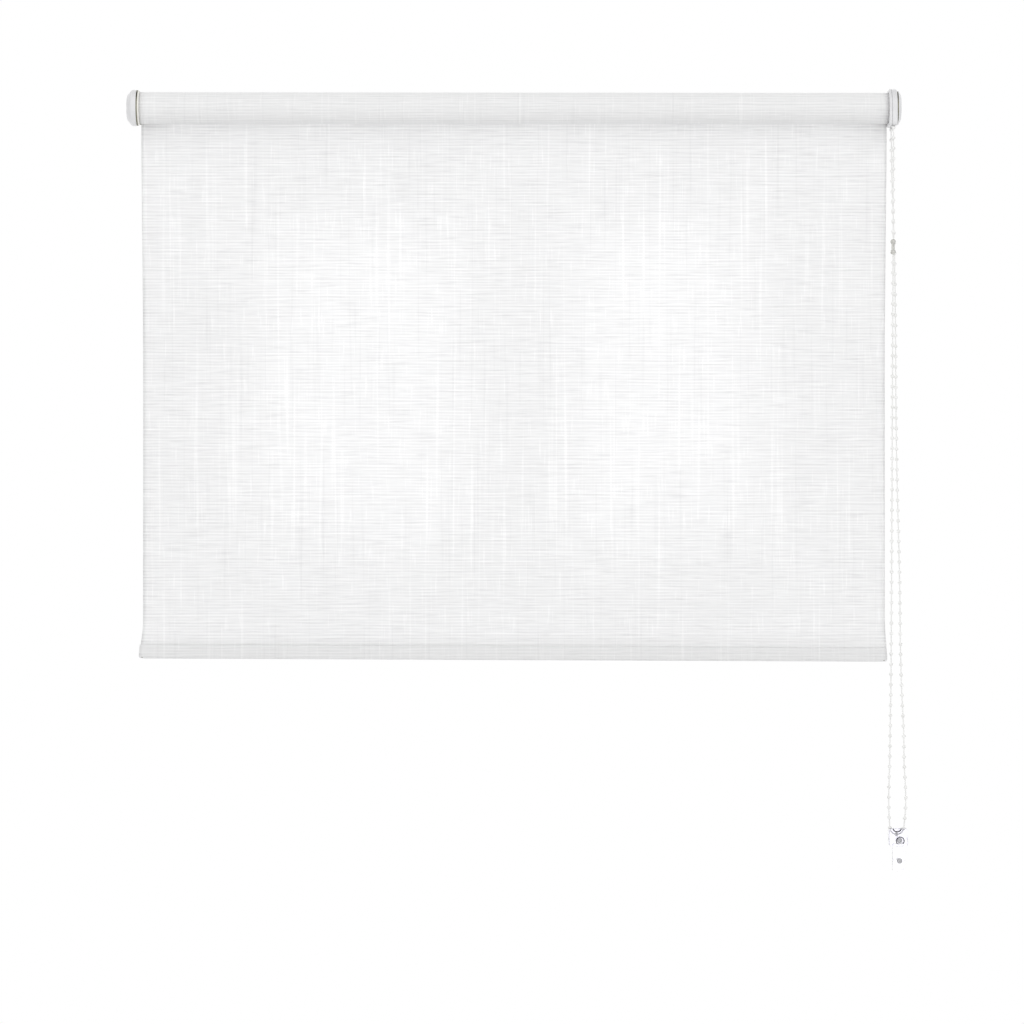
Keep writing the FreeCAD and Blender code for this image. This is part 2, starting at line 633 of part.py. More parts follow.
def bead_places(path):
    """Beads on the free cord: the first and last are one pitch below the last ones in the guard."""
    first = 2 * BEAD_PITCH - GUARD_BOTTOM
    free = path.Length - 2 * first
    count = round(free / BEAD_PITCH)
    print("cord length %.1f mm, %d beads at %.3f mm" % (path.Length, count + 1, free / count))
    return [along(path, first + free * i / count) for i in range(count + 1)]


def chain_on_wheel():
    """The cord and beads that lie over the wheel, inside the guard."""
    rear, front = on_pitch_circle(0), on_pitch_circle(180)
    drop = V(0, 0, -GUARD_BOTTOM)
    path = Part.Wire([
        Part.LineSegment(front + drop, front).toShape(),
        Part.Arc(front, on_pitch_circle(90), rear).toShape(),
        Part.LineSegment(rear, rear + drop).toShape(),
    ])
    step = 360.0 / POCKETS
    places = [on_pitch_circle(step * i) for i in range(POCKETS // 2 + 1)]
    places += [rear + V(0, 0, -BEAD_PITCH), front + V(0, 0, -BEAD_PITCH)]
    return join([swept(path, CORD_R)] + [Part.makeSphere(BEAD_R, p) for p in places])


def chain_connector(places):
    """A clip of two hollow bulbs, one round each of two neighbouring beads."""
    a, b = places[CONNECTOR_BEAD], places[CONNECTOR_BEAD + 1]
    way = (b - a).normalize()
    outer_r = BEAD_R + CORD_GAP + CONNECTOR_WALL
    start = a - way * (outer_r + 1)
    length = (b - a).Length
    reach = length + 2 * (outer_r + 1)
    clip = join([Part.makeSphere(outer_r, a), Part.makeSphere(outer_r, b),
                 Part.makeCylinder(CONNECTOR_NECK_R, length, a, way)])
    hollow = [Part.makeSphere(BEAD_R + CORD_GAP, a), Part.makeSphere(BEAD_R + CORD_GAP, b),
              Part.makeCylinder(CORD_R + CORD_GAP, reach, start, way)]
    for cut in hollow:
        clip = clip.cut(cut)
    slit = Part.makeBox(CONNECTOR_SLIT, outer_r + 1, reach, V(-CONNECTOR_SLIT / 2, 0, 0))
    slit.Placement = FreeCAD.Placement(start, FreeCAD.Rotation(V(0, 0, 1), way))
    middle = start + way * (reach / 2)
    slit.rotate(middle, way, 180.0 if slit.CenterOfMass.y < middle.y else 0.0)
    print("connector axis", way, "middle", middle)
    return clip.cut(slit)


# ---- cloth and hem -----------------------------------------------------------------------
def tilted(shape):
    """The hem's pieces hang lower at the chain's side."""
    copy = shape.copy()
    copy.rotate(V(0, HEM_Y, -CLOTH_DROP), V(0, 1, 0), HEM_TILT)
    return copy


def fabric_sheet():
    """The hanging cloth, from the back of the roll to the hem."""
    bottom = -CLOTH_DROP + POCKET_H + TURN_GAP
    low = max(-CLOTH_X0, CLOTH_X1) * math.tan(math.radians(HEM_TILT))
    cloth = block(CLOTH_X0, CLOTH_X1, SHEET_Y, SHEET_Y + CLOTH_T, bottom - low - 2, 0)
    below = block(HEM_X0 - 5, HEM_X1 + 5, SHEET_Y - 1, SHEET_Y + 1, bottom - 3 * low - 10, bottom)
    return cloth.cut(tilted(below))


def slab(half_t, z0, z1, x0, x1):
    """A flat bar along X with fully rounded long edges, centred on the hem."""
    bar = block(x0, x1, HEM_Y - half_t, HEM_Y + half_t, z0, z1)
    return bar.makeFillet(half_t * 0.98, uprights(bar, V(1, 0, 0)))


def hem_pocket():
    half_t = POCKET_T / 2
    z0, z1 = -CLOTH_DROP, -CLOTH_DROP + POCKET_H
    outer = slab(half_t, z0, z1, HEM_X0, HEM_X1)
    inner = slab(half_t - CLOTH_T, z0 + CLOTH_T, z1 - CLOTH_T, HEM_X0 - 1, HEM_X1 + 1)
    return tilted(outer.cut(inner))


def bar_bottom():
    return -CLOTH_DROP + CLOTH_T + 0.1


def steel_bar():
    z0 = bar_bottom()
    ends = BAR_END + BAR_CAP_T + SNUG
    return slab(BAR_T / 2, z0, z0 + BAR_H, HEM_X0 + ends, HEM_X1 - ends)


def bottom_bar():
    """The flat steel bar whose weight keeps the cloth straight."""
    return tilted(steel_bar())


def bar_cap(end_x, inward):
    """A plastic end for the bar: a plug face that closes the pocket, on a thin clip."""
    z0 = bar_bottom()
    x0, x1 = sorted((end_x, end_x + inward * BAR_CAP_T))
    face = slab(BAR_T / 2, z0, z0 + BAR_H, x0, x1)
    t0, t1 = sorted((end_x, end_x + inward * BAR_CAP_LEN))
    tongue_z = z0 + BAR_H + 0.1
    tongue = block(t0, t1, HEM_Y - 0.8, HEM_Y + 0.8, tongue_z - 0.2, tongue_z + 1.0)
    bridge = block(x0, x1, HEM_Y - 0.8, HEM_Y + 0.8, z0 + BAR_H - 1.0, tongue_z + 0.5)
    return tilted(join([face, bridge, tongue]).cut(steel_bar()))


# ---- chain tensioner ---------------------------------------------------------------------
def rounded_block(x0, x1, y0, y1, z0, z1, radius, soft=0.0):
    """A block whose edges along Y are rounded, and whose front rim is softened."""
    solid = block(x0, x1, y0, y1, z0, z1)
    solid = solid.makeFillet(radius, uprights(solid, V(0, 1, 0)))
    if soft:
        front = [e for e in solid.Edges if e.BoundBox.YMax < y0 + 1e-4]
        solid = solid.makeFillet(soft, front)
    return solid


def tensioner_head(y0, y1, soft=0.0):
    x = CHAIN_X + TENSIONER_FROM_CHAIN
    half = TENSIONER_HEAD_HALF
    top = -TENSIONER_DROP
    return rounded_block(x - half, x + half, y0, y1, top - TENSIONER_HEAD_H, top, TENSIONER_CORNER, soft)


def tensioner_foot(y0, y1, inset=0.0, soft=0.0):
    x = CHAIN_X + TENSIONER_FROM_CHAIN + TENSIONER_FOOT_SHIFT
    half = TENSIONER_FOOT_HALF - inset
    top = -TENSIONER_DROP - TENSIONER_HEAD_H + TENSIONER_CORNER
    bottom = -TENSIONER_DROP - TENSIONER_HEAD_H - TENSIONER_FOOT_H
    return rounded_block(x - half, x + half, y0, y1, bottom + inset, top - inset, 1.5, soft)


def small_screw_places():
    x = CHAIN_X + SMALL_SCREW_FROM_CHAIN
    return [(x, -SMALL_SCREW_TOP), (x, -SMALL_SCREW_TOP - SMALL_SCREW_SPACING)]


def cover_y():
    return -2 * TENSIONER_CHAIN_Y + TENSIONER_BACK_T


def tensioner_base():
    """The clear back plate, with the saddle that the chain loops under and the hollow foot."""
    head = tensioner_head(-TENSIONER_BACK_T, 0, TENSIONER_SOFT)
    back = join([head, tensioner_foot(-TENSIONER_BACK_T, 0)])
    walls = tensioner_foot(-TENSIONER_FOOT_DEPTH, 0, 0.0, TENSIONER_SOFT)
    walls = walls.cut(tensioner_foot(-TENSIONER_FOOT_DEPTH - 1, -TENSIONER_BACK_T, TENSIONER_WALL))
    saddle_r = LOOP_R - BEAD_R - TURN_GAP
    saddle = peg(saddle_r, cover_y(), 0, CHAIN_X + LOOP_FROM_CHAIN, -LOOP_DROP)
    reach = saddle_r + 1
    x = CHAIN_X + LOOP_FROM_CHAIN
    saddle = saddle.cut(peg(saddle_r - TENSIONER_WALL, cover_y() - 1, -TENSIONER_BACK_T, x, -LOOP_DROP))
    saddle = saddle.cut(block(x - reach, x + reach, cover_y() - 1, 1, -TENSIONER_DROP, -LOOP_DROP + reach))
    base = join([back, walls, saddle])
    for x, z in small_screw_places():
        boss = peg(SMALL_HEAD_R + 0.9, -TENSIONER_BACK_T - 1.2, 0, x, z)
        base = join([base, boss]).cut(peg(SMALL_SCREW_R + SCREW_GAP, -20, 1, x, z))
    return base


def tensioner_cover():
    """The clear front plate that keeps the chain on the saddle."""
    y1 = cover_y()
    y0 = y1 - TENSIONER_COVER_T
    cover = tensioner_head(y0, y1, TENSIONER_SOFT)
    x, z = small_screw_places()[0]
    hub_x = CHAIN_X + LOOP_FROM_CHAIN
    post = peg(SMALL_HEAD_R + 2.0, y0, -TENSIONER_BACK_T, x, z)
    post = post.cut(peg(SMALL_HEAD_R + 0.9 + SNUG, y1, 0, x, z))
    post = post.cut(tensioner_foot(-TENSIONER_FOOT_DEPTH - SNUG, 0))
    rib = block(-1.0, 1.0, y0 - 0.8, y0 + 0.1, -9.0, 0.0)
    rib.rotate(V(0, 0, 0), V(0, 1, 0), 38)
    rib.translate(V(x + 1.0, 0, z + 2.0))
    cover = join([cover, post, rib.common(tensioner_head(y0 - 1, y1))])
    cover = cover.cut(peg(SMALL_HEAD_R + 0.4, y0 - 2, y1 + 1, x, z))
    slot = join([peg(1.6, y0 - 2, y1 + 1, hub_x - 3.2, -TENSIONER_DROP - 14.6),
                 peg(1.6, y0 - 2, y1 + 1, hub_x - 0.6, -TENSIONER_DROP - 17.6)])
    cover = cover.cut(slot)
    return cover


def tensioner_screws():
    face_y = -TENSIONER_BACK_T - 1.2
    screws = []
    for x, z in small_screw_places():
        screws.append(wall_screw(SMALL_SCREW_R, SMALL_HEAD_R, SMALL_HEAD_T, SMALL_SCREW_LEN, x, face_y, z))
    return Part.makeCompound(screws)


# ---- write every node --------------------------------------------------------------------
save("idle_bracket", idle_bracket())
save("idle_cap", idle_cap())
save("idle_ring", idle_ring())
save("control_bracket", control_bracket())
save("control_cap", control_cap())
save("bracket_screws", bracket_screws())
save("roller_tube", roller_tube())
save("fabric_tape", fabric_tape())
save("fabric_roll", fabric_roll())
save("idle_plug", idle_plug())
save("idle_bush", idle_bush())
save("idle_pin", idle_pin())
save("idle_spring", idle_spring())
save("drive_hub", drive_hub())
save("chain_wheel", chain_wheel())
save("clutch_core", clutch_core())
save("clutch_springs", clutch_springs())
save("clutch_screw", clutch_screw())
save("guard_inner", guard_inner())
save("guard_outer", guard_outer())
save("fabric_sheet", fabric_sheet())
save("hem_pocket", hem_pocket())
save("bottom_bar", bottom_bar())
save("bar_cap_left", bar_cap(HEM_X0 + BAR_END, 1))
save("bar_cap_right", bar_cap(HEM_X1 - BAR_END, -1))
save("tensioner_base", tensioner_base())
save("tensioner_cover", tensioner_cover())
save("tensioner_screws", tensioner_screws())

path = cord_path()
cord = swept(path, CORD_R)
print("cord volume over section times length: %.4f" % (cord.Volume / (math.pi * CORD_R ** 2 * path.Length)))
places = bead_places(path)
save("chain_cord", cord)
save("chain_beads", Part.makeCompound([Part.makeSphere(BEAD_R, p) for p in places]))
save("chain_on_wheel", chain_on_wheel())
save("chain_connector", chain_connector(places))
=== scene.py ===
import bpy
import bmesh
import math
import random
from mathutils import Matrix, Vector, noise


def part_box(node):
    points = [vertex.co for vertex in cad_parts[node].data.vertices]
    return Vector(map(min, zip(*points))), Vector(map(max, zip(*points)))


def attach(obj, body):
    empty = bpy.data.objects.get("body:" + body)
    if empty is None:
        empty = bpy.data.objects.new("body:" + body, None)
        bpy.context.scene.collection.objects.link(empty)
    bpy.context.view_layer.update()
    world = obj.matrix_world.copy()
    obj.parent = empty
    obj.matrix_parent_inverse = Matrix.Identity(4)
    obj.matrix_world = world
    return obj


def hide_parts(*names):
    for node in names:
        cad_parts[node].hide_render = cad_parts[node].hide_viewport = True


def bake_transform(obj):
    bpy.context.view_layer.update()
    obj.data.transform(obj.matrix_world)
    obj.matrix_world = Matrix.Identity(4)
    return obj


# A white roller blind with a slub-weave cloth, a bead chain and a clear chain holder.
# Everything is in metres in the frame's own axes: X along the roller, the wall at y = 0, Z up.

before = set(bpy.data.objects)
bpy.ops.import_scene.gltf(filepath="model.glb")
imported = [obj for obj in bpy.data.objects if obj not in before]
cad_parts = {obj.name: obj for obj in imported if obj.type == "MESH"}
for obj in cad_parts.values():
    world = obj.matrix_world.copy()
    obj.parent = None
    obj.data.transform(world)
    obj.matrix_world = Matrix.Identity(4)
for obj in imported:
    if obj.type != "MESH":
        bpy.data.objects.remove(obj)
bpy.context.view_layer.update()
scene = bpy.context.scene
scene.view_settings.view_transform = "Standard"

MM = 0.001

# ---- places read from the frame ---------------------------------------------------------
roll_low, roll_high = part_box("fabric_roll")
sheet_low, sheet_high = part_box("fabric_sheet")
hem_low, hem_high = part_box("hem_pocket")
wheel_low, wheel_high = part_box("chain_on_wheel")
AXIS_Y = (roll_low.y + roll_high.y) / 2
AXIS_Z = (roll_low.z + roll_high.z) / 2
ROLL_R = (roll_high.z - roll_low.z) / 2
LEFT, RIGHT = sheet_low.x, sheet_high.x
CHAIN_X = (wheel_low.x + wheel_high.x) / 2
CLOTH_T = sheet_high.y - sheet_low.y
SHEET_Y = (sheet_low.y + sheet_high.y) / 2

# ---- camera ------------------------------------------------------------------------------
CAMERA_AWAY = 4.75         # lens to the roller's plane
VIEW_WIDTH = 1.1895        # what the view takes in at that plane
VIEW_CENTRE = Vector((-0.0022, AXIS_Y, -0.4693))


def add_camera():
    data = bpy.data.cameras.new("camera")
    data.sensor_width = 36.0
    data.lens = data.sensor_width * CAMERA_AWAY / VIEW_WIDTH
    data.clip_end = 50.0
    camera = bpy.data.objects.new("camera", data)
    camera.location = VIEW_CENTRE - Vector((0, CAMERA_AWAY, 0))
    camera.rotation_euler = (math.radians(90), 0, 0)
    scene.collection.objects.link(camera)
    scene.camera = camera


# ---- small helpers -----------------------------------------------------------------------
def add_piece(name, mesh_data, material, body=None):
    """Makes a smooth object from a bmesh, at the origin, and lets it ride on a body."""
    data = bpy.data.meshes.new(name)
    mesh_data.to_mesh(data)
    mesh_data.free()
    data.materials.append(material)
    data.polygons.foreach_set("use_smooth", [True] * len(data.polygons))
    piece = bpy.data.objects.new(name, data)
    scene.collection.objects.link(piece)
    if body:
        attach(piece, body)
    return piece


def soft_noise(x, y, z=0.0):
    return noise.noise(Vector((x, y, z)))


# ---- material building blocks ------------------------------------------------------------
def new_material(name):
    material = bpy.data.materials.new(name)
    material.use_nodes = True
    nodes = material.node_tree.nodes
    nodes.clear()
    return material, nodes, material.node_tree.links


def math_node(nodes, links, operation, a, b, clamp=False):
    node = nodes.new("ShaderNodeMath")
    node.operation = operation
    node.use_clamp = clamp
    for socket, value in zip(node.inputs, (a, b)):
        if isinstance(value, (int, float)):
            socket.default_value = value
        else:
            links.new(value, socket)
    return node.outputs[0]


def stretched_noise(nodes, links, source, scale, detail=2.0, roughness=0.5):
    """Noise on coordinates that are scaled by a different amount each way."""
    mapping = nodes.new("ShaderNodeMapping")
    mapping.inputs["Scale"].default_value = scale
    links.new(source, mapping.inputs["Vector"])
    texture = nodes.new("ShaderNodeTexNoise")
    texture.inputs["Scale"].default_value = 1.0
    texture.inputs["Detail"].default_value = detail
    texture.inputs["Roughness"].default_value = roughness
    links.new(mapping.outputs["Vector"], texture.inputs["Vector"])
    return texture.outputs["Fac"]


def ramp(nodes, links, source, stops):
    node = nodes.new("ShaderNodeValToRGB")
    elements = node.color_ramp.elements
    while len(elements) < len(stops):
        elements.new(0.5)
    for element, (place, grey) in zip(elements, stops):
        element.position = place
        element.color = (grey, grey, grey, 1.0)
    links.new(source, node.inputs["Fac"])
    return node.outputs["Color"]


def mix_colour(nodes, links, factor, low, high):
    node = nodes.new("ShaderNodeMix")
    node.data_type = "RGBA"
    links.new(factor, node.inputs["Factor"])
    node.inputs["A"].default_value = low
    node.inputs["B"].default_value = high
    return node.outputs["Result"]


def add_bump(nodes, links, height, strength, distance):
    node = nodes.new("ShaderNodeBump")
    node.inputs["Strength"].default_value = strength
    node.inputs["Distance"].default_value = distance
    links.new(height, node.inputs["Height"])
    return node.outputs["Normal"]


def add_shader(nodes, links, linked, fixed):
    """A Principled shader. Linked sockets take a node's output and fixed ones a number."""
    shader = nodes.new("ShaderNodeBsdfPrincipled")
    for socket, value in fixed.items():
        shader.inputs[socket].default_value = value
    for socket, source in linked.items():
        links.new(source, shader.inputs[socket])
    return shader.outputs["BSDF"]


def add_output(nodes, links, shader, kind="Material"):
    out = nodes.new("ShaderNodeOutput" + kind)
    links.new(shader, out.inputs["Surface"])


def object_place(nodes):
    return nodes.new("ShaderNodeTexCoord").outputs["Object"]


def varied_gloss(nodes, links, marks, spread, lowest):
    """Roughness that the surface's marks raise from its lowest value, by up to the spread."""
    raised = math_node(nodes, links, "MULTIPLY", marks, spread)
    return math_node(nodes, links, "ADD", raised, lowest)


# ---- materials ---------------------------------------------------------------------------
WEFT_PITCH = 3.55 * MM         # from one thick weft thread to the next
SECOND_PITCH = 1.48 * WEFT_PITCH    # another set of thick threads, so that the first looks uneven
SECOND_WEIGHT = 0.55
WEFT_WANDER = 1.1              # how many pitches a thick thread may stray
THREADS_PER_METRE = 1800.0     # the single threads, both ways
THREAD_HEIGHT = 0.20           # a single thread's share of the cloth's relief
SEE_THROUGH_CUT_FROM = 614.0 * MM    # the cloth lets less light through from this far down it, towards the hem
SEE_THROUGH_CUT_FADE = 10.0 * MM
SEE_THROUGH_CUT_SHARE = 0.85         # the share of the see-through that is taken away below there

# how much each mark adds to the cloth's density, from 0, thin and light, to 1, thick and dark
PLAIN_DENSITY = 0.38
MARK_DENSITY = {"weft": 0.26, "slub": 0.26, "thin weft": -0.20, "thin warp": -0.30,
                "thick warp": 0.20, "cloud": 0.14}
LIGHT_FACE, DARK_FACE = 0.99, 0.82
GLOW_THIN, GLOW_THICK = (1.0, 1.0, 1.0, 1), (0.78, 0.78, 0.785, 1)


def slub_cloth(name, see_through, bright=1.0):
    """Open white weave with thick and thin threads. Its UV map is in metres of cloth:
    u across the blind and v down it."""
    material, nodes, links = new_material(name)
    uv = nodes.new("ShaderNodeUVMap").outputs["UV"]
    parts = nodes.new("ShaderNodeSeparateXYZ")
    links.new(uv, parts.inputs["Vector"])

    def times(a, b):
        return math_node(nodes, links, "MULTIPLY", a, b)

    def plus(a, b, clamp=False):
        return math_node(nodes, links, "ADD", a, b, clamp)

    def noise_on(across, down, detail=1.0):
        """Noise with so many marks in a metre of cloth, across it and down it."""
        return stretched_noise(nodes, links, uv, (across, down, 1.0), detail)

    def streaks(across, down, start, full, least=0.0):
        """Streaks of thread, where the noise passes from start to full."""
        return ramp(nodes, links, noise_on(across, down), [(start, least), (full, 1.0)])

    def wave(turns):
        return math_node(nodes, links, "SINE", times(turns, math.tau), 0)

    def thick_threads(pitch, wander):
        """Thick weft threads at a pitch, which wander up and down a little."""
        return wave(plus(times(parts.outputs["Y"], 1.0 / pitch), times(wander, WEFT_WANDER)))

    wander = noise_on(7.0, 45.0, 2.0)
    weft = times(thick_threads(WEFT_PITCH, wander), streaks(24.0, 230.0, 0.36, 0.62, 0.10))
    second = times(thick_threads(SECOND_PITCH, wander), streaks(19.0, 160.0, 0.40, 0.70))
    marks = {
        "weft": plus(weft, times(second, SECOND_WEIGHT)),
        "slub": streaks(34.0, 520.0, 0.54, 0.70),
        "thin weft": streaks(27.0, 610.0, 0.55, 0.72),
        "thin warp": plus(streaks(210.0, 3.5, 0.60, 0.76), streaks(380.0, 26.0, 0.60, 0.78)),
        "thick warp": streaks(300.0, 5.0, 0.58, 0.78),
        "cloud": noise_on(7.0, 7.0, 3.0),
    }
    density = PLAIN_DENSITY
    for mark, source in marks.items():
        density = plus(times(source, MARK_DENSITY[mark]), density)
    density = plus(density, 0.0, clamp=True)

    # thick places hold back light, thin places let it through
    # painted shade: a factor below 1 darkens the face colour, so the wound and hem copies of the same
    # cloth come out darker
    light, dark = LIGHT_FACE * bright, DARK_FACE * bright
    face = mix_colour(nodes, links, density, (light, light, light, 1), (dark, dark, dark * 1.003, 1))
    glow = mix_colour(nodes, links, density, GLOW_THIN, GLOW_THICK)
    across = wave(times(parts.outputs["X"], THREADS_PER_METRE))
    down = wave(times(parts.outputs["Y"], THREADS_PER_METRE))
    relief = plus(density, times(times(across, down), THREAD_HEIGHT))
    normal = add_bump(nodes, links, relief, 0.45, 0.2 * MM)

    cloth = add_shader(nodes, links, {"Base Color": face, "Normal": normal},
                       {"Roughness": 0.86, "Specular IOR Level": 0.18,
                        "Sheen Weight": 0.12, "Sheen Roughness": 0.45})
    through = nodes.new("ShaderNodeBsdfTranslucent")
    links.new(glow, through.inputs["Color"])
    links.new(normal, through.inputs["Normal"])
    # the cloth lets less light through, and so is darker, over its last stretch above the hem's weld
    near_hem = times(plus(parts.outputs["Y"], -SEE_THROUGH_CUT_FROM), 1.0 / SEE_THROUGH_CUT_FADE)
    near_hem = plus(near_hem, 0.0, clamp=True)
    mixed = nodes.new("ShaderNodeMixShader")
    links.new(plus(times(near_hem, -SEE_THROUGH_CUT_SHARE * see_through), see_through), mixed.inputs["Fac"])
    links.new(cloth, mixed.inputs[1])
    links.new(through.outputs["BSDF"], mixed.inputs[2])
    add_output(nodes, links, mixed.outputs["Shader"])
    return material


def moulded_plastic(name, light, dark, roughness, grain=2600.0, bump_height=0.02 * MM, coat=0.0):
    """Injection-moulded plastic: faint mottling, a fine mould texture and soft gloss."""
    material, nodes, links = new_material(name)
    place = object_place(nodes)
    mottle = stretched_noise(nodes, links, place, (60.0, 60.0, 60.0), 3.0)
    fine = stretched_noise(nodes, links, place, (grain, grain, grain), 1.0)
    patches = ramp(nodes, links, mottle, [(0.35, 0.0), (0.65, 1.0)])
    linked = {"Base Color": mix_colour(nodes, links, patches, light, dark),
              "Roughness": varied_gloss(nodes, links, fine, 0.10, roughness - 0.05),
              "Normal": add_bump(nodes, links, fine, 0.35, bump_height)}
    fixed = {"Coat Weight": coat, "Coat Roughness": 0.15}
    add_output(nodes, links, add_shader(nodes, links, linked, fixed))
    return material


def metal(name, colour, shade, roughness, scale):
    """Bare or plated metal, with fine marks stretched along one direction."""
    material, nodes, links = new_material(name)
    marks = stretched_noise(nodes, links, object_place(nodes), scale, 3.0, 0.6)
    patches = ramp(nodes, links, marks, [(0.3, 0.0), (0.7, 1.0)])
    linked = {"Base Color": mix_colour(nodes, links, patches, colour, shade),
              "Roughness": varied_gloss(nodes, links, marks, 0.18, roughness - 0.09),
              "Normal": add_bump(nodes, links, marks, 0.25, 0.02 * MM)}
    add_output(nodes, links, add_shader(nodes, links, linked, {"Metallic": 1.0}))
    return material


def clear_plastic(name, light, dark, clearness, roughness):
    """Clear moulded plastic, with flow marks in its surface."""
    material, nodes, links = new_material(name)
    flow = stretched_noise(nodes, links, object_place(nodes), (240.0, 240.0, 110.0), 2.0)
    patches = ramp(nodes, links, flow, [(0.35, 0.0), (0.65, 1.0)])
    linked = {"Base Color": mix_colour(nodes, links, patches, light, dark),
              "Roughness": varied_gloss(nodes, links, flow, 0.06, roughness),
              "Normal": add_bump(nodes, links, flow, 0.5, 0.12 * MM)}
    fixed = {"Transmission Weight": clearness, "IOR": 1.58}
    add_output(nodes, links, add_shader(nodes, links, linked, fixed))
    return material


def braided_cord(name, light, dark):
    """A thin braid, with its strands as fine relief."""
    material, nodes, links = new_material(name)
    braid = stretched_noise(nodes, links, object_place(nodes), (1500.0, 1500.0, 900.0), 1.0)
    linked = {"Base Color": mix_colour(nodes, links, braid, light, dark),
              "Normal": add_bump(nodes, links, braid, 0.6, 0.1 * MM)}
    add_output(nodes, links, add_shader(nodes, links, linked, {"Roughness": 0.75}))
    return material


HANGING_CLOTH = slub_cloth("slub cloth, hanging", 0.55)
# the wound and doubled copies let little light through, being many or two layers; their face colour is
# also darkened by 0.955 and 0.86, which is painted shade
WOUND_CLOTH = slub_cloth("slub cloth, wound, painted shade", 0.06, 0.955)
HEM_CLOTH = slub_cloth("slub cloth, doubled, painted shade", 0.10, 0.86)
WHITE_PLASTIC = moulded_plastic(
    "white moulded plastic", (0.78, 0.78, 0.79, 1), (0.74, 0.74, 0.75, 1), 0.42)
CREAM_PLASTIC = moulded_plastic(
    "cream moulded plastic", (0.88, 0.87, 0.82, 1), (0.84, 0.83, 0.77, 1), 0.40)
GREY_NYLON = moulded_plastic(
    "grey nylon", (0.55, 0.56, 0.57, 1), (0.46, 0.47, 0.48, 1), 0.6, 1800.0, 0.04 * MM)
BEAD_PLASTIC = moulded_plastic(
    "bead plastic", (0.90, 0.90, 0.89, 1), (0.83, 0.83, 0.815, 1), 0.30, coat=0.3)
TAPE = moulded_plastic("adhesive tape", (0.82, 0.79, 0.68, 1), (0.74, 0.70, 0.60, 1), 0.5)
CLEAR_PLASTIC = clear_plastic(
    "clear plastic", (0.98, 0.98, 1.0, 1), (0.92, 0.91, 0.97, 1), 1.0, 0.01)
MILKY_PLASTIC = clear_plastic(
    "milky clear plastic", (0.90, 0.895, 0.86, 1), (0.80, 0.795, 0.76, 1), 0.4, 0.10)
CORD = braided_cord("braided cord", (0.93, 0.93, 0.92, 1), (0.72, 0.72, 0.71, 1))
ZINC_STEEL = metal(
    "zinc-plated sheet", (0.30, 0.29, 0.23, 1), (0.20, 0.195, 0.15, 1), 0.42, (90.0, 90.0, 700.0))
BRIGHT_STEEL = metal(
    "bright screw steel", (0.60, 0.60, 0.61, 1), (0.42, 0.42, 0.44, 1), 0.24, (900.0, 900.0, 900.0))
SPRING_STEEL = metal(
    "spring wire", (0.35, 0.35, 0.36, 1), (0.24, 0.24, 0.25, 1), 0.35, (1200.0, 300.0, 300.0))
ALUMINIUM = metal(
    "drawn aluminium", (0.80, 0.81, 0.82, 1), (0.68, 0.69, 0.70, 1), 0.38, (6.0, 900.0, 900.0))

CAD_FINISHES = {
    "idle_cap": WHITE_PLASTIC, "control_cap": WHITE_PLASTIC, "guard_inner": WHITE_PLASTIC,
    "guard_outer": WHITE_PLASTIC, "idle_ring": CREAM_PLASTIC, "idle_bush": CREAM_PLASTIC,
    "idle_plug": GREY_NYLON, "drive_hub": GREY_NYLON, "clutch_core": GREY_NYLON,
    "chain_wheel": WHITE_PLASTIC, "bar_cap_left": WHITE_PLASTIC, "bar_cap_right": WHITE_PLASTIC,
    "idle_bracket": ZINC_STEEL, "control_bracket": ZINC_STEEL, "bottom_bar": ZINC_STEEL,
    "bracket_screws": BRIGHT_STEEL, "tensioner_screws": BRIGHT_STEEL, "clutch_screw": BRIGHT_STEEL,
    "idle_pin": BRIGHT_STEEL, "idle_spring": SPRING_STEEL, "clutch_springs": SPRING_STEEL,
    "roller_tube": ALUMINIUM, "fabric_tape": TAPE, "chain_on_wheel": BEAD_PLASTIC,
    "chain_connector": MILKY_PLASTIC, "tensioner_base": CLEAR_PLASTIC, "tensioner_cover": CLEAR_PLASTIC,
}


def finish_cad_nodes():
    for node, material in CAD_FINISHES.items():
        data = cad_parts[node].data
        data.materials.clear()
        data.materials.append(material)


# ---- cloth -------------------------------------------------------------------------------
def write_cloth_uv(data, place_of):
    """Writes a UV map in metres of cloth. place_of gives (u, v) for a vertex."""
    layer = data.uv_layers.new(name="cloth")
    for loop in data.loops:
        layer.data[loop.index].uv = place_of(data.vertices[loop.vertex_index].co)


SHEET_DOWN = AXIS_Z - hem_low.z
TOP_LAP = 6.0 * MM         # the cloth starts this far round the back of the roll
WAIST = 2.1 * MM           # how far the cloth draws in above the hem
DRAWN_BY = 0.50            # this share of the way down it is drawn in,
FLARE_FROM = 0.92          # here it starts to flare out again,
WIDEN_FROM = 0.93          # and here it starts to widen to the hem
RIPPLE_MIDDLE = 0.8 * MM   # how far the ripples stand towards the wall,
RIPPLE_WIDE = 0.9 * MM     # and how far the wide and the narrow ones go either way
RIPPLE_NARROW = 0.25 * MM
EDGE_CURL = 1.1 * MM       # how far the side edges turn towards the wall
CURL_FROM = 0.965          # the curl starts at this share of the half width
HEM_TILT = math.radians(0.25)
HEM_BAND = 16.0 * MM       # the hem's own height
HEM_MID = (hem_low + hem_high) / 2
WELD_LAP = 0.6 * MM        # how far the hanging cloth goes into the hem's weld


def ease(value):
    value = min(1.0, max(0.0, value))
    return value * value * (3 - 2 * value)


def side_edge(side, z):
    """Where the cloth's left (-1) or right (+1) edge hangs, at a height."""
    cut, hem = (LEFT, hem_low.x) if side < 0 else (RIGHT, hem_high.x)
    down = (AXIS_Z - z) / SHEET_DOWN
    drawn = WAIST * ease(down / DRAWN_BY) * (1 - ease((down - FLARE_FROM) / (1 - FLARE_FROM)))
    return cut - side * drawn + (hem - cut) * ease((down - WIDEN_FROM) / (1 - WIDEN_FROM))


